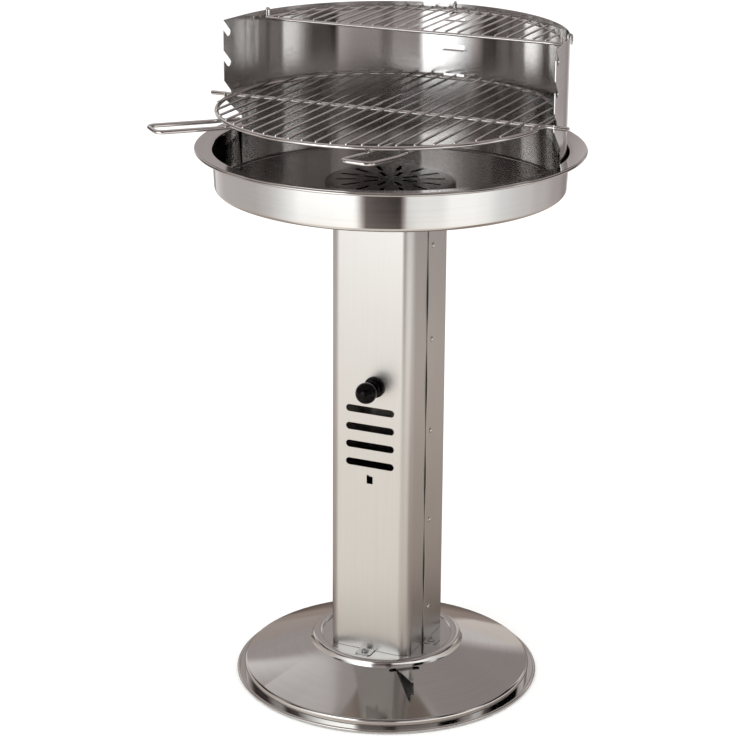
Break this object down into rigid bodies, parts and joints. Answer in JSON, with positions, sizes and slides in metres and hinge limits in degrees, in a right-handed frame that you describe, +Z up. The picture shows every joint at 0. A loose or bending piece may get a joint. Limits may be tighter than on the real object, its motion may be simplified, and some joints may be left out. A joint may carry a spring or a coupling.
{
  "type": "pillar barbecue",
  "caption": "Free-standing charcoal grill: round bowl with notched half wind shield, wire grate and warming rack on a box column with a sliding air damper and a domed base.",
  "frame": {"origin": "on the ground, in the middle of the whole grill's footprint box; the column's axis stands 1 mm to the right of it and 13.25 mm behind it", "axes": "+Z up; -Y to the front, which the vents, the knob and the open side of the wind shield face; +X to the right as seen by someone who stands in front and looks along +Y"},
  "size_m": [0.462, 0.4864, 0.8081],
  "materials": {
    "brushed_sheet": "satin brushed stainless sheet",
    "bright_sheet": "bright rolled stainless sheet",
    "bright_rivet": "bright rivet heads",
    "zinc_fastener": "zinc-plated screws, nuts and washer",
    "damper_steel": "plain steel damper plate",
    "black_bakelite": "glossy black moulded knob",
    "chrome_wire": "chrome-plated steel wire"
  },
  "bodies": {
    "stand": {"base_plate": "brushed_sheet", "column_front_shell": "brushed_sheet", "column_rear_shell": "brushed_sheet", "fire_bowl": "brushed_sheet", "seam_rivet_left_1": "bright_rivet", "seam_rivet_left_2": "bright_rivet", "seam_rivet_left_3": "bright_rivet", "seam_rivet_left_4": "bright_rivet", "seam_rivet_left_5": "bright_rivet", "seam_rivet_right_1": "bright_rivet", "seam_rivet_right_2": "bright_rivet", "seam_rivet_right_3": "bright_rivet", "seam_rivet_right_4": "bright_rivet", "seam_rivet_right_5": "bright_rivet", "foot_screw_front": "zinc_fastener", "foot_screw_right": "zinc_fastener", "foot_screw_rear": "zinc_fastener", "foot_screw_left": "zinc_fastener", "foot_nut_front": "zinc_fastener", "foot_nut_right": "zinc_fastener", "foot_nut_rear": "zinc_fastener", "foot_nut_left": "zinc_fastener", "bowl_screw_front": "zinc_fastener", "bowl_screw_right": "zinc_fastener", "bowl_screw_rear": "zinc_fastener", "bowl_screw_left": "zinc_fastener", "bowl_nut_front": "zinc_fastener", "bowl_nut_right": "zinc_fastener", "bowl_nut_rear": "zinc_fastener", "bowl_nut_left": "zinc_fastener"},
    "damper": {"damper_plate": "damper_steel", "damper_knob": "black_bakelite", "damper_stud": "zinc_fastener", "damper_washer": "zinc_fastener", "damper_nut": "zinc_fastener"},
    "charcoal_grate": {"charcoal_grate": "brushed_sheet"},
    "wind_shield": {"wind_shield": "bright_sheet"},
    "cooking_grate": {"cooking_grate": "chrome_wire", "grate_handle_front": "chrome_wire", "grate_handle_left": "chrome_wire"},
    "warming_rack": {"warming_rack": "chrome_wire", "rack_hook_right": "chrome_wire", "rack_hook_rear": "chrome_wire", "rack_hook_left": "chrome_wire"}
  },
  "joints": [
    {"name": "damper_slide", "type": "slide", "parent": "stand", "child": "damper", "axis": [0, 0, 1], "range_m": [0, 0.01]},
    {"name": "charcoal_grate_lift", "type": "slide", "parent": "stand", "child": "charcoal_grate", "axis": [0, 0, 1], "range_m": [0, 0.06]},
    {"name": "wind_shield_lift", "type": "slide", "parent": "stand", "child": "wind_shield", "axis": [0, 0, 1], "range_m": [0, 0.1]},
    {"name": "cooking_grate_unhook", "type": "slide", "parent": "wind_shield", "child": "cooking_grate", "axis": [0, -0.7071, 0.7071], "range_m": [0, 0.045]},
    {"name": "warming_rack_lift", "type": "slide", "parent": "wind_shield", "child": "warming_rack", "axis": [0, 0, 1], "range_m": [0, 0.06]}
  ]
}
